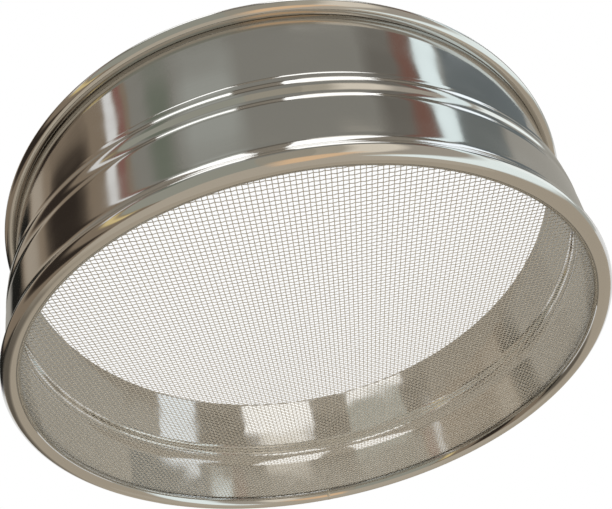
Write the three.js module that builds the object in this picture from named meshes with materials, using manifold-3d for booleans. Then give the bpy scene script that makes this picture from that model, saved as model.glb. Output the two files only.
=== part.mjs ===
// Round drum sieve for flour. A tapered band of polished stainless sheet carries a rolled rim and a
// bead. A hoop with a rolled lower edge is pressed over the lower half of the band, rests against the
// bead and is crimped below it. It holds the edge of a woven wire cloth under the foot of the band.
// The hoop is a bent strip whose two ends are welded together.
// Millimetres, +Z up. The origin is the middle of the circle that the hoop stands on.
import * as THREE from 'three';
import { mergeVertices } from 'three/addons/utils/BufferGeometryUtils.js';
import Module from 'manifold-3d';

// Overall sizes
const HEIGHT = 60; // from the standing face of the hoop to the top of the rim
const RIM_DIAMETER = 222; // over the rolled rim
const HOOP_DIAMETER = 200; // over the roll of the hoop

// Band: lengths in the plane of its section
const BAND_SHEET = 0.6; // thickness of the sheet
const BAND_INSET = 1.1; // from the middle of the hoop's roll in to the foot of the band
const RIM_ROLL = 4; // diameter of the rolled rim
const RIM_SLIT = 0.3; // left open between the end of the rim's roll and the wall
const BEAD_HEIGHT = 28; // crest of the bead above the standing face, measured on the wall
const BEAD_DEPTH = 1.5; // how far the crest stands out from the wall
const BEAD_CREST = 4; // bending radius of the crest
const BEAD_ABOVE = 4.5; // along the wall, from the crest up to the end of the bead
const BEAD_BELOW = 7.5; // along the wall, from the crest down to the end of the bead

// Hoop
const HOOP_SHEET = 0.6; // thickness of the strip
const HOOP_ROLL = 5.4; // diameter of the roll
const HOOP_ROLL_END = 175; // degrees round the roll at which the strip ends, 180 being nearest the axis
const HOOP_FLARE = 8; // bending radius between the skirt and the roll
const STANDING_FACE = 1.4; // width of the flat under the roll
const SKIRT_ABOVE_CREST = 0.8; // along the wall, from the crest of the bead up to the top of the skirt
const CRIMP_BELOW_CREST = 0.9; // along the wall, from the crest of the bead down to the crimp
const CRIMP_TURN = 11; // degrees that the sheet leans out and in on the sides of the crimp
const CRIMP_BEND = 5.5; // bending radius of the crimp
const JOINT_ANGLE = 96.3; // place of the welded joint round the hoop, in degrees from +X
const WELD_WIDTH = 1; // along the hoop

// Wire cloth
const WARP_PITCH = 1.36; // between the wires that run from front to back
const WEFT_PITCH = 1.21; // between the wires that run from side to side
const WIRE = 0.28; // thickness of a wire
const CLOTH_TURN = 4; // turn of the weave about the axis, in degrees
const CLOTH_ABOVE_ROLL = 1; // from the end of the hoop's roll up to the cloth
const CLOTH_MARGIN = 0.6; // how far the flattened edge of the cloth shows inside the band

// Fits
const SKIRT_CLEARANCE = 0.15; // between the crest of the bead and the skirt of the hoop
const WELD_CLEARANCE = 0.3; // between the weld and each end of the hoop
const CLOTH_CLEARANCE = 0.3; // between the edge of the cloth and the hoop
const CLOTH_SEAT = 0.1; // between the cloth and the foot of the band
const LAYER_GAP = 0.05; // between the two sets of wires

// Facets
const ROUND_FACETS = 60; // round the axis
const ARC_FACET = 36; // most degrees of a bend in one facet

const wasm = await Module();
wasm.setup();

const { degToRad, radToDeg } = THREE.MathUtils;
const at = (x, y) => new THREE.Vector2(x, y);
const towards = (angle) => at(Math.cos(degToRad(angle)), Math.sin(degToRad(angle)));

// Points on a bend, from one angle to another, both in degrees.
function arc(centre, radius, from, to) {
  const steps = Math.ceil(Math.abs(to - from) / ARC_FACET);
  return Array.from({ length: steps + 1 }, (_, i) => {
    const angle = from + ((to - from) * i) / steps;
    return towards(angle).multiplyScalar(radius).add(centre);
  });
}

// One path from several runs of points, with each shared end kept once.
function joinRuns(...runs) {
  const points = runs.flat();
  return points.filter((point, i) => i === 0 || point.distanceTo(points[i - 1]) > 1e-6);
}

// The two faces of a sheet whose middle follows the path: left of its direction, then right.
function sheetFaces(path, thickness) {
  const leftOf = path.slice(1).map((point, i) => {
    const along = point.clone().sub(path[i]).normalize();
    return at(-along.y, along.x);
  });
  const offset = (side) =>
    path.map((point, i) => {
      const before = leftOf[Math.max(i - 1, 0)];
      const after = leftOf[Math.min(i, leftOf.length - 1)];
      const mitre = before.clone().add(after).normalize();
      const reach = thickness / 2 / mitre.dot(before);
      return point.clone().addScaledVector(mitre, side * reach);
    });
  return [offset(1), offset(-1)];
}

// The outline of the sheet's section: up one face and back down the other.
const outlineOf = ([left, right]) => [...left, ...right.slice().reverse()];

// The radius of the first stretch of a face that passes the given height.
function radiusAt(face, height) {
  const i = face.findIndex((point, k) => k > 0 && (point.y - height) * (face[k - 1].y - height) <= 0);
  const [above, below] = [face[i - 1], face[i]];
  return THREE.MathUtils.mapLinear(height, above.y, below.y, above.x, below.x);
}

// A ring with the given section, turned about the Z axis.
function turned(outline) {
  const clockwise = THREE.ShapeUtils.isClockWise(outline);
  const section = clockwise ? outline : outline.slice().reverse();
  const closed = [...section].reverse().concat([section[section.length - 1]]);
  return new THREE.LatheGeometry(closed, ROUND_FACETS).rotateX(Math.PI / 2);
}

function toSolid(geometry) {
  const bare = geometry.clone();
  bare.deleteAttribute('normal');
  bare.deleteAttribute('uv');
  const merged = mergeVertices(bare);
  const vertProperties = new Float32Array(merged.attributes.position.array);
  const triVerts = new Uint32Array(merged.index.array);
  return new wasm.Manifold(new wasm.Mesh({ numProp: 3, vertProperties, triVerts }));
}

function toGeometry(solid) {
  const { vertProperties, triVerts } = solid.getMesh();
  const geometry = new THREE.BufferGeometry();
  geometry.setAttribute('position', new THREE.BufferAttribute(vertProperties, 3));
  geometry.setIndex(new THREE.BufferAttribute(triVerts, 1));
  geometry.computeVertexNormals();
  return geometry;
}

// Section of the hoop's roll, and the height of the cloth above its end.
const hoopCurl = (HOOP_ROLL - HOOP_SHEET) / 2;
const flatHalfAngle = radToDeg(Math.asin(STANDING_FACE / HOOP_ROLL));
const hoopCentre = at(
  (HOOP_DIAMETER - HOOP_ROLL) / 2,
  hoopCurl * Math.cos(degToRad(flatHalfAngle)) + HOOP_SHEET / 2,
);
const rollEndTop = hoopCentre.y + (HOOP_ROLL / 2) * Math.sin(degToRad(HOOP_ROLL_END));
const clothBottom = rollEndTop + CLOTH_ABOVE_ROLL;
const clothTop = clothBottom + 2 * WIRE + LAYER_GAP;

// The wall is the straight line from the foot of the band that touches the curl of the rim.
const rimCurl = (RIM_ROLL - BAND_SHEET) / 2;
const rimCentre = at((RIM_DIAMETER - RIM_ROLL) / 2, HEIGHT - RIM_ROLL / 2);
const bandFoot = at(hoopCentre.x - BAND_INSET, clothTop + CLOTH_SEAT);
const footToRim = rimCentre.clone().sub(bandFoot);
const wallAngle = footToRim.angle() + Math.asin(rimCurl / footToRim.length());
const wallAlong = at(Math.cos(wallAngle), Math.sin(wallAngle));
const wallOut = at(wallAlong.y, -wallAlong.x);
const curlStart = radToDeg(wallAngle) + 90;

// A point given by its distance up the wall and its distance out from the wall.
const onWall = (up, out) => bandFoot.clone().addScaledVector(wallAlong, up).addScaledVector(wallOut, out);

const beadMiddle = (BEAD_HEIGHT - bandFoot.y) / wallAlong.y;

// The bead is a round crest between two shoulders that run into the wall: a short one above and a
// long one below. Each shoulder turns by twice the slope of the line from its end to the crest.
function beadPath() {
  const turnOf = (length) => 2 * Math.atan(BEAD_DEPTH / length);
  const shoulderOf = (length) => length / Math.sin(turnOf(length)) - BEAD_CREST;
  const [above, below] = [BEAD_ABOVE, BEAD_BELOW].map((length) => radToDeg(turnOf(length)));
  const [upper, lower] = [BEAD_ABOVE, BEAD_BELOW].map(shoulderOf);
  return [
    ...arc(at(-BEAD_BELOW, lower), lower, -90, -90 + below),
    ...arc(at(0, BEAD_DEPTH - BEAD_CREST), BEAD_CREST, 90 + below, 90 - above),
    ...arc(at(BEAD_ABOVE, upper), upper, -90 - above, -90),
  ].map((point) => onWall(beadMiddle + point.x, point.y));
}

// The crimp is a low ridge and a shallow groove below it, in equal bends. Each bend starts where the
// last one ends and turns the other way. Points are along the wall from the crest, and out from the wall.
function crimpPath(start) {
  const turn = CRIMP_TURN;
  const bends = [[-90, -90 - turn], [90 - turn, 90 + turn], [-90 + turn, -90 - turn], [90 - turn, 90]];
  const centre = start.clone().add(at(0, CRIMP_BEND));
  return bends.flatMap(([from, to]) => {
    const run = arc(centre, CRIMP_BEND, from, to);
    centre.addScaledVector(towards(to), 2 * CRIMP_BEND);
    return run;
  });
}

// The rim is rolled outwards until the edge of the sheet is a slit away from the wall.
function rimPath() {
  const outside = rimCurl + BAND_SHEET / 2;
  const leftOpen = radToDeg(Math.acos((rimCurl - BAND_SHEET / 2 - RIM_SLIT) / outside));
  return arc(rimCentre, rimCurl, curlStart, curlStart - 360 + leftOpen);
}

// The hoop runs down beside the wall from the crest of the bead, is crimped, flares out and is rolled
// inwards under the cloth.
function hoopPath() {
  const overBead = BEAD_DEPTH + (BAND_SHEET + HOOP_SHEET) / 2 + SKIRT_CLEARANCE;
  const crimp = crimpPath(at(-CRIMP_BELOW_CREST, overBead));
  const skirt = crimp[crimp.length - 1].y;
  const rollFromFoot = hoopCentre.clone().sub(bandFoot);
  const sideways = skirt + HOOP_FLARE - rollFromFoot.dot(wallOut);
  const upwards = Math.sqrt((HOOP_FLARE + hoopCurl) ** 2 - sideways ** 2);
  const flareCentre = onWall(rollFromFoot.dot(wallAlong) + upwards, skirt + HOOP_FLARE);
  const rollStart = radToDeg(flareCentre.clone().sub(hoopCentre).angle());
  return joinRuns(
    [onWall(beadMiddle + SKIRT_ABOVE_CREST, overBead)],
    crimp.map((point) => onWall(beadMiddle + point.x, point.y)),
    arc(flareCentre, HOOP_FLARE, curlStart, rollStart + 180),
    arc(hoopCentre, hoopCurl, rollStart, -90 + flatHalfAngle),
    arc(hoopCentre, hoopCurl, -90 - flatHalfAngle, HOOP_ROLL_END - 360),
  );
}

const bandOutline = outlineOf(sheetFaces(joinRuns([bandFoot], beadPath(), rimPath()), BAND_SHEET));
const hoopFaces = sheetFaces(hoopPath(), HOOP_SHEET);
const hoopOutline = outlineOf(hoopFaces);
const hoopInside = hoopFaces[1];

// The hoop is open at its joint, by the width of the weld and a clearance on each side of it.
function hoopGeometry() {
  const gap = WELD_WIDTH + 2 * WELD_CLEARANCE;
  const cutter = new THREE.BoxGeometry(HOOP_DIAMETER / 2, gap, 2 * HEIGHT);
  cutter.translate(HOOP_DIAMETER / 2, 0, 0).rotateZ(degToRad(JOINT_ANGLE));
  return toGeometry(toSolid(turned(hoopOutline)).subtract(toSolid(cutter)));
}

// The weld has the section of the strip that it joins.
function weldGeometry() {
  const slice = new THREE.ExtrudeGeometry(new THREE.Shape(hoopOutline), {
    depth: WELD_WIDTH,
    bevelEnabled: false,
  });
  return slice.translate(0, 0, -WELD_WIDTH / 2).rotateX(Math.PI / 2);
}

const clothRadius = radiusAt(hoopInside, clothTop) - CLOTH_CLEARANCE;
const openRadius = bandFoot.x - BAND_SHEET / 2 - CLOTH_MARGIN;

// One set of parallel wires along Y, held by the flattened edge of the cloth. The gaps between
// neighbouring wires are cut through a round plate as thick as a wire.
function wiresGeometry(pitch) {
  const plate = Array.from({ length: ROUND_FACETS }, (_, i) => towards((360 * i) / ROUND_FACETS));
  const outlines = [plate.map((point) => point.multiplyScalar(clothRadius).toArray())];
  const halfLength = (x) => Math.sqrt(openRadius ** 2 - x ** 2);
  const gaps = Math.floor((openRadius - WIRE) / pitch);
  for (let i = -gaps; i < gaps; i += 1) {
    const [left, right] = [i * pitch + WIRE / 2, (i + 1) * pitch - WIRE / 2];
    outlines.push([
      [left, -halfLength(left)],
      [left, halfLength(left)],
      [right, halfLength(right)],
      [right, -halfLength(right)],
    ]);
  }
  return toGeometry(wasm.Manifold.extrude(outlines, WIRE));
}

const polishedSteel = { color: 0xa3a49e, metalness: 1, roughness: 0.12 };
const weldedSteel = { color: 0xbab7ae, metalness: 1, roughness: 0.35 };
const drawnWire = { color: 0xb4b1a9, metalness: 1, roughness: 0.3 };

function piece(name, geometry, finish) {
  const mesh = new THREE.Mesh(geometry, new THREE.MeshStandardMaterial(finish));
  mesh.name = name;
  return mesh;
}

const sieve = new THREE.Group();

sieve.add(piece('drum_band', turned(bandOutline), polishedSteel));
sieve.add(piece('mesh_hoop', hoopGeometry(), polishedSteel));

const weld = piece('hoop_weld', weldGeometry(), weldedSteel);
weld.rotation.z = degToRad(JOINT_ANGLE);
sieve.add(weld);

const cloth = new THREE.Group();
cloth.position.z = clothBottom;
cloth.rotation.z = degToRad(CLOTH_TURN);
cloth.add(piece('warp_wires', wiresGeometry(WARP_PITCH), drawnWire));
const weft = piece('weft_wires', wiresGeometry(WEFT_PITCH), drawnWire);
weft.position.z = WIRE + LAYER_GAP;
weft.rotation.z = Math.PI / 2;
cloth.add(weft);
sieve.add(cloth);

export default sieve;
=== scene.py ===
# %% [markdown]
# # A polished drum sieve
# The sieve is a round drum of stainless sheet with fine wire cloth across its lower end.
# This lesson dresses the measured model: every piece is made again with smooth bends and real
# weaving, in the place that the measured piece holds, and is then given its finish.

# %% Load the frame
import math

import bpy
import numpy as np
from mathutils import Matrix, Vector


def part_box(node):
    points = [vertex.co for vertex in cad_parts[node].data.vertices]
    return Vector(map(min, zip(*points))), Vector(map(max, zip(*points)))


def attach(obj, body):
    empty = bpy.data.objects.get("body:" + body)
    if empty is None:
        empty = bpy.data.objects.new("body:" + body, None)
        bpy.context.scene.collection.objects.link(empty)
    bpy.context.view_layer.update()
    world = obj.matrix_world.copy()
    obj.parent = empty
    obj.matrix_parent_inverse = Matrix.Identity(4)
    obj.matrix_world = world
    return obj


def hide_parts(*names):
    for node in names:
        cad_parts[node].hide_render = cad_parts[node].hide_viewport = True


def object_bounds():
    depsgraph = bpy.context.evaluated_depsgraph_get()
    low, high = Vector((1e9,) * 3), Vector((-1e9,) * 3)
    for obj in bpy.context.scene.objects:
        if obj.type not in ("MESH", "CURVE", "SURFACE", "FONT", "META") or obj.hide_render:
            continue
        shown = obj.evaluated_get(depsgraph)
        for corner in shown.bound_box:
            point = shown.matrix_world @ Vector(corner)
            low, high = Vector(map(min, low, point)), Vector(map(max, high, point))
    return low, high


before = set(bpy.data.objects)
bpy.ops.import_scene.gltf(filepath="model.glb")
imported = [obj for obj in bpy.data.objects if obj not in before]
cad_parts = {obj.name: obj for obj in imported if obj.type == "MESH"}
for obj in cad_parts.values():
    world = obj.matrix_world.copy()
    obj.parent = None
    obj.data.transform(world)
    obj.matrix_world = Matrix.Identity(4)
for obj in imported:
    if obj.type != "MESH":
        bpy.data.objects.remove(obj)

MM = 0.001  # the scene is in metres, sizes are written in millimetres


def in_mm(point):
    """A point in millimetres, rounded for printing."""
    return [round(v / MM, 2) for v in point]


cad_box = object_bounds()
print("nodes:", ", ".join(sorted(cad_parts)))
print("box of the measured model in mm:", [in_mm(corner) for corner in cad_box])

# %% [markdown]
# ## The camera
# The sieve was held up and seen from below and in front, a little tilted. A camera can be aimed
# with a target, but here it is easier to give its place and two turns: pitch, up from the level
# view along +Y, and roll, about the line of sight. The camera is close and has the short lens of a
# pocket camera, so the near side of the drum looks much larger than the far side.

# %% Place the camera
SENSOR_WIDTH = 36.0
LENS = 30.09
CLIP_START = 1 * MM  # the near side of the sieve is little more than the usual 0.1 m away

scene = bpy.context.scene
camera_place = Vector((4.766, -161.356, -89.281)) * MM
camera_pitch = math.radians(44.536)
camera_roll = math.radians(-12.926)

camera_data = bpy.data.cameras.new("camera")
camera_data.lens = LENS
camera_data.sensor_width = SENSOR_WIDTH
camera_data.clip_start = CLIP_START
camera = bpy.data.objects.new("camera", camera_data)
level_view = Matrix.Rotation(math.radians(90), 4, "X")
pitch_turn = Matrix.Rotation(camera_pitch, 4, "X")
roll_turn = Matrix.Rotation(camera_roll, 4, "Z")
camera.matrix_world = Matrix.Translation(camera_place) @ pitch_turn @ level_view @ roll_turn
scene.collection.objects.link(camera)
scene.camera = camera
print("camera at", in_mm(camera_place), "mm, lens", LENS, "mm")

# %% [markdown]
# ## Bends, strips and turned rings
# A sheet piece is a strip that was bent to a section and closed into a ring. Its section could be
# drawn by hand, point by point. It is shorter, and stays true to the metal, to draw only the line
# through the middle of the sheet, as straight runs and bends, and to give that line a thickness.

# %% Runs of a section
BEND_STEP = 3  # degrees of a bend in one facet
END_FACET = 0.4 * MM  # length of the first and last facet of a straight run
SAME_PLACE = 1e-4 * MM  # points that are closer than this are one point


def bend(centre, radius, start, end):
    """Points on a bend, from one angle to another, in degrees."""
    steps = math.ceil(abs(end - start) / BEND_STEP)
    angles = np.radians(np.linspace(start, end, steps + 1))
    return centre + radius * np.column_stack([np.cos(angles), np.sin(angles)])


def straight(start, end):
    """Points on a straight run. A short facet at each end keeps the shading of the bends out of it."""
    share = END_FACET / np.linalg.norm(end - start)
    return start + np.array([0, share, 1 - share, 1])[:, None] * (end - start)


def join_runs(*runs):
    """One path from several runs, with each shared end kept once."""
    points = np.vstack(runs)
    step = np.linalg.norm(np.diff(points, axis=0), axis=1)
    return points[np.r_[True, step > SAME_PLACE]]


def length_along(path):
    """The distance along a path, at each of its points."""
    return np.r_[0, np.cumsum(np.linalg.norm(np.diff(path, axis=0), axis=1))]


def sheet_section(path, thickness):
    """The outline of a sheet whose middle follows the path."""
    along = np.diff(path, axis=0)
    along /= np.linalg.norm(along, axis=1)[:, None]
    left = np.column_stack([-along[:, 1], along[:, 0]])
    before, after = np.vstack([left[:1], left]), np.vstack([left, left[-1:]])
    mitre = before + after
    mitre /= np.linalg.norm(mitre, axis=1)[:, None]
    offset = mitre * (np.asarray(thickness) / 2 / (mitre * before).sum(1))[:, None]
    return np.vstack([path + offset, (path - offset)[::-1]])


# %% [markdown]
# ## From points to an object
# Faces are made from a grid of points: one row for each place round the axis, one column for each
# point of the section. Two maps go with the mesh. One is laid out in millimetres of metal, so that
# scratches can be given a size. The other fills a square, to save the finish as a picture.

# %% Mesh from a grid of points
SHARP_BEND = math.radians(40)  # a cut edge of the sheet stays crisp, a bend is shaded round
METAL_MAP = "metal_mm"
PICTURE_MAP = "OFBake"


def add_piece(name, points, faces, maps):
    """A new object, with shading and maps. A map gives (u, v) for every corner of every face."""
    mesh = bpy.data.meshes.new(name)
    mesh.from_pydata(points.tolist(), [], faces)
    for map_name, corners in maps.items():
        layer = mesh.uv_layers.new(name=map_name)
        layer.uv.foreach_set("vector", np.asarray(corners, np.float32).ravel())
    mesh.shade_smooth()
    mesh.set_sharp_from_angle(angle=SHARP_BEND)
    piece = bpy.data.objects.new(name, mesh)
    scene.collection.objects.link(piece)
    return piece


def ring_of_sections(name, sections, angles, closed):
    """A piece whose section is given at each angle round the axis."""
    count, width = len(angles), len(sections[0])
    radius, height = np.stack(sections)[:, :, 0], np.stack(sections)[:, :, 1]
    turn = np.asarray(angles)[:, None]
    points = np.stack([radius * np.cos(turn), radius * np.sin(turn), height], 2).reshape(-1, 3)
    spans = count if closed else count - 1
    row, column = [v.ravel() for v in np.indices((spans, width))]
    next_row, next_column = (row + 1) % count, (column + 1) % width
    faces = np.column_stack(
        [
            row * width + column,
            next_row * width + column,
            next_row * width + next_column,
            row * width + next_column,
        ]
    ).tolist()
    u = np.column_stack([row, row + 1, row + 1, row])
    v = np.column_stack([column, column, column + 1, column + 1])
    around = (angles[-1] - angles[0]) * spans / (count - 1) * radius.max() / MM
    along = length_along(np.vstack([sections[0], sections[0][:1]])) / MM
    metal = np.dstack([u * around / spans, along[v]]).reshape(-1, 2)
    picture = np.dstack([u / spans, along[v] / along[-1]]).reshape(-1, 2)
    if not closed:
        faces += [list(range(width))[::-1], list(range((count - 1) * width, count * width))]
        flat = np.zeros((2 * width, 2))
        metal, picture = np.vstack([metal, flat]), np.vstack([picture, flat])
    piece = add_piece(name, points, faces, {METAL_MAP: metal, PICTURE_MAP: picture})
    print(name, "has", len(faces), "faces")
    return piece


# %% [markdown]
# ## The band
# The drum is a tapered band of thin sheet. Its top edge is rolled outwards over itself, so that no
# raw edge is left to cut a hand, and a bead pressed out round the middle keeps it stiff. The bead is
# lopsided: short above its crest, long below it. The wall is the straight line from the foot of the
# band that just touches the curl of the rim. Rim and height come from the measured band, and its
# other sizes are written here.

# %% Lean of the wall
BAND_SHEET = 0.6 * MM
RIM_ROLL = 4 * MM
FOOT_RADIUS = 96.2 * MM

band_low, band_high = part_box("drum_band")
rim_curl = (RIM_ROLL - BAND_SHEET) / 2
rim_centre = np.array([band_high.x - RIM_ROLL / 2, band_high.z - RIM_ROLL / 2])
band_foot = np.array([FOOT_RADIUS, band_low.z])
foot_to_rim = rim_centre - band_foot
wall_angle = math.atan2(foot_to_rim[1], foot_to_rim[0])
wall_angle += math.asin(rim_curl / np.linalg.norm(foot_to_rim))
wall_up = np.array([math.cos(wall_angle), math.sin(wall_angle)])
wall_out = np.array([wall_up[1], -wall_up[0]])
curl_start = math.degrees(wall_angle) + 90
print("the wall leans out by", round(90 - math.degrees(wall_angle), 1), "degrees")


# %% Press the bead and roll the rim
RIM_SLIT = 0.05 * MM  # the measured band leaves its roll open by 0.3 mm, the real one shows no gap
BEAD_HEIGHT = 28 * MM
BEAD_DEPTH = 1.5 * MM
BEAD_CREST = 4 * MM  # bending radius of the crest
BEAD_ABOVE = 4.5 * MM
BEAD_BELOW = 7.5 * MM


def on_wall(up, out):
    """A point given by its distance up the wall and its distance out from the wall."""
    return band_foot + np.multiply.outer(up, wall_up) + np.multiply.outer(out, wall_out)


def bead_side(length):
    """The turn of a bead's shoulder in degrees, and its bending radius."""
    turn = 2 * math.atan(BEAD_DEPTH / length)
    return math.degrees(turn), length / math.sin(turn) - BEAD_CREST


bead_middle = (BEAD_HEIGHT - band_foot[1]) / wall_up[1]
above_turn, above_bend = bead_side(BEAD_ABOVE)
below_turn, below_bend = bead_side(BEAD_BELOW)
bead_runs = np.vstack(
    [
        bend(np.array([-BEAD_BELOW, below_bend]), below_bend, -90, -90 + below_turn),
        bend(np.array([0, BEAD_DEPTH - BEAD_CREST]), BEAD_CREST, 90 + below_turn, 90 - above_turn),
        bend(np.array([BEAD_ABOVE, above_bend]), above_bend, -90 - above_turn, -90),
    ]
)
bead_path = on_wall(bead_middle + bead_runs[:, 0], bead_runs[:, 1])
left_open = math.degrees(math.acos((rim_curl - BAND_SHEET / 2 - RIM_SLIT) / (RIM_ROLL / 2)))
rim_path = bend(rim_centre, rim_curl, curl_start, curl_start - 360 + left_open)
band_path = join_runs(
    straight(band_foot, bead_path[0]),
    bead_path,
    straight(bead_path[-1], rim_path[0]),
    rim_path,
)
print("the band's strip is", round(length_along(band_path)[-1] / MM, 1), "mm wide")

# %% Turn the band
RING_STEPS = 316

all_round = np.linspace(0, 2 * math.pi, RING_STEPS, endpoint=False)
band_section = sheet_section(band_path, BAND_SHEET)
band = ring_of_sections("drum_band_sheet", [band_section] * RING_STEPS, all_round, closed=True)
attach(band, "root")
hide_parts("drum_band")

# %% [markdown]
# ## The hoop
# A second strip is pressed over the lower half of the band. It reaches up just past the crest of the
# bead and is crimped in below it, which locks the two together. Its lower part flares out, and its
# edge is rolled in under the cloth, so that the cloth is held between the foot of the band and the
# roll. A narrow flat under the roll is what the sieve stands on. The crimp is four bends of one
# radius, which is shorter to write than a curve and gives the light the two long lines that the real
# crimp shows. The strip is left open by a millimetre at its joint, where the weld comes next.

# %% Crimp the strip under the bead
HOOP_SHEET = 0.6 * MM
SKIRT_ABOVE_CREST = 0.8 * MM
SKIRT_CLEARANCE = 0.15 * MM
CRIMP_BELOW_CREST = 0.1 * MM
CRIMP_TURN = 11  # degrees
CRIMP_BEND = 7.6 * MM  # wider than the measured bend, because the real lines of light lie further apart

over_bead = BEAD_DEPTH + (BAND_SHEET + HOOP_SHEET) / 2 + SKIRT_CLEARANCE
skirt_top = on_wall(bead_middle + SKIRT_ABOVE_CREST, over_bead)
crimp_runs = []
crimp_centre = np.array([-CRIMP_BELOW_CREST, over_bead + CRIMP_BEND])
for start, end in (
    (-90, -90 - CRIMP_TURN),
    (90 - CRIMP_TURN, 90 + CRIMP_TURN),
    (-90 + CRIMP_TURN, -90 - CRIMP_TURN),
    (90 - CRIMP_TURN, 90),
):
    crimp_runs.append(bend(crimp_centre, CRIMP_BEND, start, end))
    crimp_centre = 2 * crimp_runs[-1][-1] - crimp_centre
crimp_runs = np.vstack(crimp_runs)
crimp_path = on_wall(bead_middle + crimp_runs[:, 0], crimp_runs[:, 1])
print("the crimp is", round(np.ptp(crimp_runs[:, 1]) / MM, 2), "mm deep")

# %% Flare the strip and roll its edge
HOOP_RADIUS = 100 * MM
HOOP_ROLL = 5.4 * MM
HOOP_ROLL_END = 162  # degrees. The measured hoop's edge ends a little lower, at 175
HOOP_FLARE = 8 * MM
STANDING_FACE = 1.4 * MM

hoop_curl = (HOOP_ROLL - HOOP_SHEET) / 2
flat_half = math.asin(STANDING_FACE / HOOP_ROLL)
roll_height = hoop_curl * math.cos(flat_half) + HOOP_SHEET / 2
hoop_centre = np.array([HOOP_RADIUS - HOOP_ROLL / 2, roll_height])
skirt = crimp_runs[-1, 1]
roll_from_foot = hoop_centre - band_foot
sideways = skirt + HOOP_FLARE - roll_from_foot @ wall_out
upwards = math.sqrt((HOOP_FLARE + hoop_curl) ** 2 - sideways**2)
flare_centre = on_wall(roll_from_foot @ wall_up + upwards, skirt + HOOP_FLARE)
roll_start = math.degrees(math.atan2(*(flare_centre - hoop_centre)[::-1]))
flat_turn = math.degrees(flat_half)
flare_path = bend(flare_centre, HOOP_FLARE, curl_start, roll_start + 180)
hoop_path = join_runs(
    straight(skirt_top, crimp_path[0]),
    crimp_path,
    straight(crimp_path[-1], flare_path[0]),
    flare_path,
    bend(hoop_centre, hoop_curl, roll_start, -90 + flat_turn),
    bend(hoop_centre, hoop_curl, -90 - flat_turn, HOOP_ROLL_END - 360),
)
print("the hoop's strip is", round(length_along(hoop_path)[-1] / MM, 1), "mm wide")

# %% Turn the hoop, leaving its joint open
JOINT_ANGLE = math.radians(96.3)
JOINT_GAP = 1.0 * MM

half_gap = JOINT_GAP / 2 / HOOP_RADIUS
hoop_angles = np.linspace(JOINT_ANGLE + half_gap, JOINT_ANGLE + 2 * math.pi - half_gap, RING_STEPS)
hoop_section = sheet_section(hoop_path, HOOP_SHEET)
hoop = ring_of_sections("mesh_hoop_strip", [hoop_section] * RING_STEPS, hoop_angles, closed=False)
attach(hoop, "root")
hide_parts("mesh_hoop")

# %% [markdown]
# ## The weld
# The two ends of the strip are joined by a weld, which was ground almost flush. What is left is a
# low bead with fine ripples, one for each step of the torch. It could be a bump in the finish, but
# its outline shows at the roll. So it is the strip's own section again, a little thicker in the
# middle of the joint, with the ripples added along the section, and it is cut flush with the face
# that the sieve stands on.

# %% Fill the joint
WELD_STEPS = 10
WELD_OVERLAP = 0.25 * MM
WELD_RISE = 0.18 * MM
WELD_TUCK = 0.02 * MM  # at its edges the weld is thinner than the strip by this much
RIPPLE_PITCH = 0.9 * MM
RIPPLE_DEPTH = 0.05 * MM
RIPPLE_BOW = 0.5  # share of a pitch by which a ripple is bowed

across = np.linspace(-1, 1, WELD_STEPS + 1)
weld_angles = JOINT_ANGLE + across * (half_gap + WELD_OVERLAP / HOOP_RADIUS)
ripples_along = length_along(hoop_path) / RIPPLE_PITCH
weld_sections = []
for place in across:
    ripple = np.cos(2 * math.pi * (ripples_along + RIPPLE_BOW * place**2))
    rise = (WELD_RISE + RIPPLE_DEPTH * ripple) * (1 - place**2)
    section = sheet_section(hoop_path, HOOP_SHEET + rise - WELD_TUCK)
    section[:, 1] = np.maximum(section[:, 1], cad_box[0].z)
    weld_sections.append(section)
weld = ring_of_sections("hoop_weld_bead", weld_sections, weld_angles, closed=False)
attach(weld, "root")
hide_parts("hoop_weld")

# %% [markdown]
# ## The wire cloth
# The cloth is a plain weave: each wire goes over one crossing wire and under the next, and its
# neighbour does the opposite. A picture of a mesh on a flat plate would show no wires against the
# light, so every wire is made. Its middle follows a cosine whose half wave is one crossing.
# The wires are put together in a few objects, because one object of all of them would be very large.

# %% Bend one wire
WIRE = 0.22 * MM  # finer than the measured wire, because the cloth then looks as light as the real one
WIRE_SIDES = 6
STEPS_PER_CROSSING = 3

cloth_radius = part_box("warp_wires")[1].x


def one_wire(place, pitch, side):
    """Rings of points along a wire at x = place. The wires that it crosses are a pitch apart."""
    half = math.sqrt(cloth_radius**2 - place**2)
    step = pitch / STEPS_PER_CROSSING
    inner = np.arange(-math.floor(half / step), math.floor(half / step) + 1) * step
    y = np.unique(np.clip(np.r_[-half, inner, half], -half, half))
    wave = math.pi / pitch
    z = side * WIRE / 2 * np.cos(wave * y)
    slope = -side * WIRE / 2 * wave * np.sin(wave * y)
    lean = np.column_stack([-slope, np.ones_like(slope)]) / np.hypot(1, slope)[:, None]
    turn = 2 * math.pi * np.arange(WIRE_SIDES) / WIRE_SIDES
    sideways, upwards = WIRE / 2 * np.cos(turn), WIRE / 2 * np.sin(turn)
    return np.stack(
        [
            np.broadcast_to(place + sideways, (len(y), WIRE_SIDES)),
            y[:, None] + lean[:, :1] * upwards,
            z[:, None] + lean[:, 1:] * upwards,
        ],
        axis=2,
    )


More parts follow.
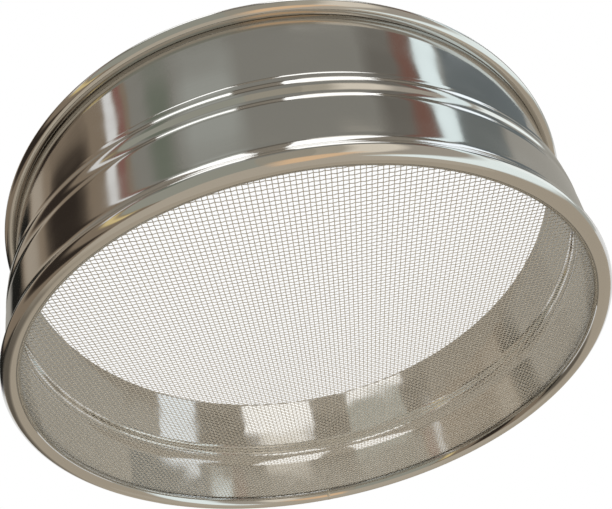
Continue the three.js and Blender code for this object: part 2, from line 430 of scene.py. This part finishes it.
def wire_faces(count):
    """Side faces and end faces of a wire of so many rings, and where each side corner is on it."""
    row, column = [v.ravel() for v in np.indices((count - 1, WIRE_SIDES))]
    after = (column + 1) % WIRE_SIDES
    sides = np.column_stack(
        [
            row * WIRE_SIDES + column,
            row * WIRE_SIDES + after,
            (row + 1) * WIRE_SIDES + after,
            (row + 1) * WIRE_SIDES + column,
        ]
    )
    first = np.arange(WIRE_SIDES)
    ends = np.stack([first[::-1], first + (count - 1) * WIRE_SIDES])
    u = np.column_stack([column, column + 1, column + 1, column]) / WIRE_SIDES
    v = np.column_stack([row, row, row + 1, row + 1]) / (count - 1)
    return sides, ends, u.ravel(), v.ravel()


print("a wire in the middle of the cloth is", round(2 * cloth_radius / MM, 1), "mm long")

# %% Lay one set of wires
PIECES_PER_SET = 5
MAP_MARGIN = 0.1  # share of a wire's strip on the picture map that is left free at each side

cloth_middle = (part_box("warp_wires")[0].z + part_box("weft_wires")[1].z) / 2


def wire_set(node, pitch, crossing_pitch, turn, first_side):
    """All wires of one direction, in a few pieces. The turn is about the axis of the drum."""
    most = math.floor((cloth_radius - WIRE) / pitch)
    length = 2 * cloth_radius / MM
    to_place = Matrix.Translation((0, 0, cloth_middle)) @ Matrix.Rotation(turn, 4, "Z")
    pieces = []
    for number, group in enumerate(np.array_split(np.arange(-most, most + 1), PIECES_PER_SET), 1):
        points, faces, metal, picture, start = [], [], [], [], 0
        for strip, i in enumerate(group):
            rings = one_wire(i * pitch, crossing_pitch, first_side * (1 - 2 * (i % 2)))
            sides, ends, u, v = wire_faces(len(rings))
            points.append(rings.reshape(-1, 3))
            faces += (start + sides).tolist() + (start + ends).tolist()
            start += len(points[-1])
            strip_u = (strip + MAP_MARGIN + (1 - 2 * MAP_MARGIN) * u) / len(group)
            end_corners = (ends.size, 2)
            metal += [np.column_stack([i + u, v * length]), np.full(end_corners, float(i))]
            picture += [np.column_stack([strip_u, v]), np.full(end_corners, (strip + 0.5) / len(group))]
        maps = {METAL_MAP: np.vstack(metal), PICTURE_MAP: np.vstack(picture)}
        piece = add_piece(f"{node}_{number}", np.vstack(points), faces, maps)
        piece.data.transform(to_place)
        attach(piece, "root")
        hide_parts(node)
        print(piece.name, "has", len(group), "wires and", len(faces), "faces")
        pieces.append(piece)
    return pieces


# %% Weave the cloth
WARP_PITCH = 1.36 * MM
WEFT_PITCH = 1.21 * MM
CLOTH_TURN = math.radians(4)

warp = wire_set("warp_wires", WARP_PITCH, WEFT_PITCH, CLOTH_TURN, 1)
weft = wire_set("weft_wires", WEFT_PITCH, WARP_PITCH, CLOTH_TURN + math.pi / 2, -1)

# %% [markdown]
# ## Finishes
# Everything here is stainless steel, so the pieces differ only in how their surface was made. A
# finish could be a picture laid over the piece. Here it is worked out by nodes from real sizes, which
# stays sharp from near. Each finish is a Principled shader of metal, with its IOR left alone.

# %% Colour and node helpers
def linear(hex_colour):
    """sRGB hex to linear RGBA."""
    values = [int(hex_colour[i : i + 2], 16) / 255 for i in (1, 3, 5)]
    return [v / 12.92 if v <= 0.04045 else ((v + 0.055) / 1.055) ** 2.4 for v in values] + [1.0]


def add_node(tree, kind, settings=None, links=None, **inputs):
    """A node with its settings, its input values and its links from other nodes' sockets."""
    node = tree.nodes.new(kind)
    for name, value in (settings or {}).items():
        setattr(node, name, value)
    for name, value in inputs.items():
        node.inputs[name.replace("_", " ")].default_value = value
    for name, socket in (links or {}).items():
        tree.links.new(socket, node.inputs[name])
    return node


def new_finish(name):
    """A material with no nodes yet, and its node tree."""
    material = bpy.data.materials.new(name)
    material.use_nodes = True
    material.node_tree.nodes.clear()
    return material, material.node_tree


# %% [markdown]
# ## Polished sheet
# Band and hoop are cold-rolled sheet that was buffed to a mirror. With gloss alone they would look
# too perfect. Real sheet is never quite flat, so straight edges bend in it, and wiping leaves
# hairlines and dull smears. Waves and hairlines are bump, because they tilt the mirror. Smears change
# the roughness, because they only blur it.

# %% Polished stainless sheet
HAIRLINE = (25, 0.6)  # length round the drum and width, in mm
SMEAR = (30, 12)
WAVE = (16, 18)
HAIRLINE_DEPTH = 0.02 * MM
WAVE_DEPTH = 0.14 * MM
NOISE_SPAN = {"From_Min": 0.3, "From_Max": 0.7}  # a noise seldom leaves this span


def metal_noise(tree, length, width, detail):
    """Noise on the metal's own map, with grains of a length round the drum and a width, in mm."""
    metal = add_node(tree, "ShaderNodeUVMap", {"uv_map": METAL_MAP})
    grains = add_node(
        tree, "ShaderNodeMapping", {}, {"Vector": metal.outputs["UV"]}, Scale=(1 / length, 1 / width, 1)
    )
    noise = add_node(
        tree, "ShaderNodeTexNoise", {}, {"Vector": grains.outputs["Vector"]}, Scale=1.0, Detail=detail
    )
    return noise.outputs["Fac"]


def polished_stainless():
    """Cold-rolled and buffed sheet: a mirror, broken by hairlines and by a slightly uneven surface.
    Real hairlines are hundredths of a millimetre wide. They are drawn 0.6 mm wide, so that they show."""
    material, tree = new_finish("polished_stainless_steel")
    hairlines = metal_noise(tree, *HAIRLINE, detail=4.0)
    smears = metal_noise(tree, *SMEAR, detail=2.0)
    waves = metal_noise(tree, *WAVE, detail=1.0)
    wavy = add_node(tree, "ShaderNodeBump", {}, {"Height": waves}, Strength=1.0, Distance=WAVE_DEPTH)
    fine = add_node(
        tree,
        "ShaderNodeBump",
        {},
        {"Height": hairlines, "Normal": wavy.outputs["Normal"]},
        Strength=0.15,
        Distance=HAIRLINE_DEPTH,
    )
    gloss = add_node(
        tree, "ShaderNodeMapRange", {}, {"Value": smears}, **NOISE_SPAN, To_Min=0.05, To_Max=0.12
    )
    steel = add_node(
        tree,
        "ShaderNodeBsdfPrincipled",
        {},
        {"Roughness": gloss.outputs["Result"], "Normal": fine.outputs["Normal"]},
        Base_Color=linear("#c9c8c5"),
        Metallic=1.0,
    )
    add_node(tree, "ShaderNodeOutputMaterial", {}, {"Surface": steel.outputs["BSDF"]})
    return material


sheet_finish = polished_stainless()
for piece in (band, hoop):
    piece.data.materials.append(sheet_finish)
print("sheet finish:", sheet_finish.name)


# %% [markdown]
# ## Wire and weld
# Wire is pulled through a die, which leaves fine lines along it, and the weld was ground with grit.
# Both scatter light, so they look duller than the sheet. The lines on a wire are far too fine to be
# drawn, so a share of its shader is not metallic instead, which makes it pale from every side. One
# function makes both finishes, because they differ only in a few values.

# %% Drawn wire and ground weld
def worn_stainless(name, colour, low, high, grain, metallic):
    """Dull stainless. Its roughness goes from low to high in patches of a grain in millimetres."""
    material, tree = new_finish(name)
    patches = metal_noise(tree, grain, grain, detail=3.0)
    gloss = add_node(
        tree, "ShaderNodeMapRange", {}, {"Value": patches}, **NOISE_SPAN, To_Min=low, To_Max=high
    )
    steel = add_node(
        tree,
        "ShaderNodeBsdfPrincipled",
        {},
        {"Roughness": gloss.outputs["Result"]},
        Base_Color=linear(colour),
        Metallic=metallic,
    )
    add_node(tree, "ShaderNodeOutputMaterial", {}, {"Surface": steel.outputs["BSDF"]})
    return material


# Drawn wire: pale and half matt, with no mirror image in it.
wire_finish = worn_stainless("drawn_stainless_wire", "#e2dccf", 0.45, 0.6, grain=3, metallic=0.7)
# Ground weld: a grey seam with small dull spots.
weld_finish = worn_stainless("ground_stainless_weld", "#d2cdc3", 0.25, 0.45, grain=0.5, metallic=1.0)
for piece in warp + weft:
    piece.data.materials.append(wire_finish)
weld.data.materials.append(weld_finish)
print("wire and weld finishes:", wire_finish.name, weld_finish.name)

# %% [markdown]
# ## The studio
# A polished drum shows its surroundings more than itself, so the light is planned as a photographer
# would plan it. The surround is white. A pale floor carries the shadow and fades into the surround.
# The camera looks up through it, so it is solid from above and open from below. The floor is left
# out of the reflections and of the light that comes from below, because this view has none.

# %% White surround
WHITE = linear("#ffffff")
SOFT_LIGHT = 0.75  # share of the light on the floor that comes from all round, the lamp gives the rest

scene.view_settings.view_transform = "Standard"
world = bpy.data.worlds.new("white_surround")
world.use_nodes = True
world.node_tree.nodes.clear()
scene.world = world
tree = world.node_tree
rays = add_node(tree, "ShaderNodeLightPath")
shown = rays.outputs["Is Camera Ray"]
for kind in ("Is Glossy Ray", "Is Transmission Ray"):
    larger = add_node(tree, "ShaderNodeMath", {"operation": "MAXIMUM"}, {0: shown, 1: rays.outputs[kind]})
    shown = larger.outputs["Value"]
soft = add_node(tree, "ShaderNodeBackground", Color=WHITE, Strength=SOFT_LIGHT)
white = add_node(tree, "ShaderNodeBackground", Color=WHITE, Strength=1.0)
either = add_node(
    tree,
    "ShaderNodeMixShader",
    {},
    {0: shown, 1: soft.outputs["Background"], 2: white.outputs["Background"]},
)
add_node(tree, "ShaderNodeOutputWorld", {}, {"Surface": either.outputs["Shader"]})
print("surround:", world.name)

# %% Floor paper
FLOOR_SIZE = 3.0
FADE_START = 0.2  # distance from the middle at which the floor begins to fade
FLOOR_DROP = 0.2 * MM  # keeps the floor clear of the face that the sieve stands on

half_size = FLOOR_SIZE / 2
paper, tree = new_finish("white_floor_paper")
below = add_node(tree, "ShaderNodeNewGeometry")
place = add_node(tree, "ShaderNodeTexCoord")
from_middle = add_node(
    tree, "ShaderNodeVectorMath", {"operation": "LENGTH"}, {0: place.outputs["Object"]}
)
far = add_node(
    tree,
    "ShaderNodeMapRange",
    {"interpolation_type": "SMOOTHSTEP"},
    {"Value": from_middle.outputs["Value"]},
    From_Min=FADE_START,
    From_Max=half_size,
)
unseen = add_node(
    tree,
    "ShaderNodeMath",
    {"operation": "MAXIMUM"},
    {0: below.outputs["Backfacing"], 1: far.outputs["Result"]},
)
matt = add_node(tree, "ShaderNodeBsdfDiffuse", Color=linear("#f4f3f0"))
nothing = add_node(tree, "ShaderNodeBsdfTransparent")
fading = add_node(
    tree,
    "ShaderNodeMixShader",
    {},
    {0: unseen.outputs["Value"], 1: matt.outputs["BSDF"], 2: nothing.outputs["BSDF"]},
)
add_node(tree, "ShaderNodeOutputMaterial", {}, {"Surface": fading.outputs["Shader"]})

corners = [(half_size * x, half_size * y, 0) for x, y in ((-1, -1), (1, -1), (1, 1), (-1, 1))]
floor_mesh = bpy.data.meshes.new("floor")
floor_mesh.from_pydata(corners, [], [(0, 1, 2, 3)])
floor_mesh.materials.append(paper)
floor = bpy.data.objects.new("floor", floor_mesh)
floor.location.z = cad_box[0].z - FLOOR_DROP
floor.visible_glossy = False
floor.visible_diffuse = False
scene.collection.objects.link(floor)
print("floor:", FLOOR_SIZE, "m wide")

# %% Soft lamp
LAMP_PLACE = (-0.5, -0.4, 1.1)
LAMP_SIZE = 0.6
LAMP_POWER = 4.0  # watts

lamp_data = bpy.data.lights.new("soft_lamp", "AREA")
lamp_data.shape = "DISK"
lamp_data.size = LAMP_SIZE
lamp_data.energy = LAMP_POWER
lamp = bpy.data.objects.new("soft_lamp", lamp_data)
lamp.location = LAMP_PLACE
lamp.rotation_euler = lamp.location.to_track_quat("Z", "Y").to_euler()
lamp.visible_glossy = False
scene.collection.objects.link(lamp)
print("lamp:", lamp.name, "at", LAMP_PLACE)

# %% [markdown]
# ## Flags and reflectors
# Round the sieve stand sheets of paper and card. Grey, brown and beige ones are flags that darken
# the metal, bright ones draw the long highlights along the bends and the tall one on the drum's
# right side. Each is a piece of a ball round the sieve, given by its reach in azimuth, 0 being
# towards the camera and 90 to its right, and in elevation. Only the reflections show them.

# %% Make a flag
FLAG_STEP = 4  # degrees of a flag in one facet
FEWEST_FACETS = 8  # across a small flag, so that its edges can fade


def glowing_card(name, colour, strength):
    """Card that glows evenly, and lets through what is behind it where its cover fades."""
    material, tree = new_finish(name)
    glow = add_node(tree, "ShaderNodeEmission", Color=linear(colour), Strength=strength)
    nothing = add_node(tree, "ShaderNodeBsdfTransparent")
    covered = add_node(tree, "ShaderNodeAttribute", {"attribute_name": "cover"})
    faded = add_node(
        tree,
        "ShaderNodeMixShader",
        {},
        {0: covered.outputs["Fac"], 1: nothing.outputs["BSDF"], 2: glow.outputs["Emission"]},
    )
    add_node(tree, "ShaderNodeOutputMaterial", {}, {"Surface": faded.outputs["Shader"]})
    return material


def add_flag(name, azimuths, elevations, colour, distance, strength=1.0, soft=0):
    """A glowing sheet that only reflections see. Its edges fade over a few degrees where it is soft."""
    steps, fades, grid = [], [], []
    for start, end in (azimuths, elevations):
        steps.append(max(math.ceil((end - start) / FLAG_STEP), FEWEST_FACETS) + 1)
        places = np.linspace(start, end, steps[-1])
        from_edge = np.minimum(places - start, end - places)
        fades.append(np.clip(from_edge / soft, 0, 1) if soft else np.ones_like(places))
        grid.append(np.radians(places))
    azimuth, elevation = np.meshgrid(*grid, indexing="ij")
    points = distance * np.stack(
        [
            np.sin(azimuth) * np.cos(elevation),
            -np.cos(azimuth) * np.cos(elevation),
            np.sin(elevation),
        ],
        axis=2,
    )
    row, column = [v.ravel() for v in np.indices((steps[0] - 1, steps[1] - 1))]
    first = row * steps[1] + column
    faces = np.column_stack([first, first + steps[1], first + steps[1] + 1, first + 1])
    mesh = bpy.data.meshes.new(name)
    mesh.from_pydata(points.reshape(-1, 3).tolist(), [], faces.tolist())
    cover = np.outer(*fades).ravel()
    mesh.attributes.new("cover", "FLOAT", "POINT").data.foreach_set("value", cover)
    mesh.materials.append(glowing_card(name, colour, strength))
    flag = bpy.data.objects.new(name, mesh)
    for kind in ("camera", "diffuse", "transmission", "volume_scatter", "shadow"):
        setattr(flag, f"visible_{kind}", False)
    scene.collection.objects.link(flag)


# %% Set up the boards
BOARD_DISTANCE = 4.0

# Name, reach in azimuth, reach in elevation, colour.
boards = [
    ("top_board", (-180, 180), (49, 90), "#9a9286"),
    ("back_board", (156, 204), (-8, 28), "#8e877b"),
    ("back_right_board", (90, 204), (28, 49), "#b0ada5"),
    ("back_left_board", (-156, -112), (28, 49), "#a6a29a"),
    ("right_board", (96, 112), (-8, 28), "#c6c7c0"),
    ("low_back_board", (96, 248), (-50, -8), "#c6baa8"),
    ("ground_board", (-180, 180), (-90, -50), "#d0c5b4"),
    ("left_board", (-112, -47), (-50, 49), "#988876"),
    ("grey_board", (-47, 90), (31, 49), "#9a9891"),
    ("pale_board", (-47, -4), (-50, 31), "#b0b0a4"),
    ("beige_board", (-4, 14), (-50, 31), "#b6afa0"),
    ("warm_board", (14, 40), (-50, 31), "#c4bcac"),
    ("shade_board", (40, 96), (-50, 31), "#beb6aa"),
]
for board in boards:
    add_flag(*board, BOARD_DISTANCE)
print("boards:", len(boards))

# %% Set up the cards and lamps
CARD_GAP = 0.02  # each card stands this much nearer than the one before, and covers it

# Name, reach in azimuth, reach in elevation, colour, strength, soft edge in degrees.
cards = [
    ("inner_shade", (-60, 78), (45.5, 53), "#6e675d", 1.0, 2),
    ("left_lamp", (-46, -11), (53, 81), "#ffffff", 1.9, 0),
    ("left_lamp_foot", (-42, -9), (46.5, 53), "#babeb6", 1.0, 0),
    ("right_glow", (15, 43), (45.5, 55), "#fffaf0", 1.4, 3),
    ("right_lamp", (11, 50), (50, 79), "#ffffff", 1.9, 0),
    ("tall_reflector", (60, 98), (-72, 24), "#f5ffff", 1.35, 7),
    ("tall_reflector_top", (60.5, 70), (20, 45), "#eefcff", 1.35, 0),
    ("bead_reflector", (72, 104), (6, 32), "#f8ffff", 1.4, 3),
    ("bright_strip", (22, 44), (-52, 34), "#f6ecdc", 1.1, 5),
    ("orange_card", (-3, 38), (-84, -34), "#ffd9b0", 1.05, 9),
    ("pale_card", (-30, -4), (30, 46), "#b6b8b2", 1.0, 6),
    ("olive_flag", (-42, -29), (28, 46), "#7f8578", 1.0, 4),
    ("shade_flag", (38, 62), (28, 47), "#7e7a73", 1.0, 5),
    ("warm_flag", (51, 61), (28, 47), "#8a675c", 1.0, 3),
    ("dark_flag_right", (72, 116), (38, 45.5), "#747b7d", 1.0, 0),
    ("dark_flag_low", (69, 88), (31.5, 39), "#7c8180", 1.0, 0),
    ("side_lamp", (78, 98), (44.5, 60), "#f0f8ff", 1.6, 0),
    ("gold_card", (-56, -47), (-38, 24), "#fae2a6", 1.0, 3),
    ("rust_flag", (-53, -48.5), (30, 47), "#986e66", 1.0, 1.2),
    ("white_card_left", (-58.5, -52.5), (18, 50), "#ffffff", 1.0, 1.5),
    ("brown_flag", (-90, -65), (-46, 44), "#3a322c", 1.0, 4),
    ("light_card_left", (-106, -92), (24, 50), "#b8ac9c", 1.0, 4),
    ("black_flag", (-122, -104), (-30, 50), "#22221f", 1.0, 4),
    ("low_left_flag", (-152, -108), (-46, -6), "#736b60", 1.0, 10),
]
for number, (name, azimuths, elevations, colour, strength, soft) in enumerate(cards, 1):
    add_flag(name, azimuths, elevations, colour, BOARD_DISTANCE - number * CARD_GAP, strength, soft)
print("cards and lamps:", len(cards))
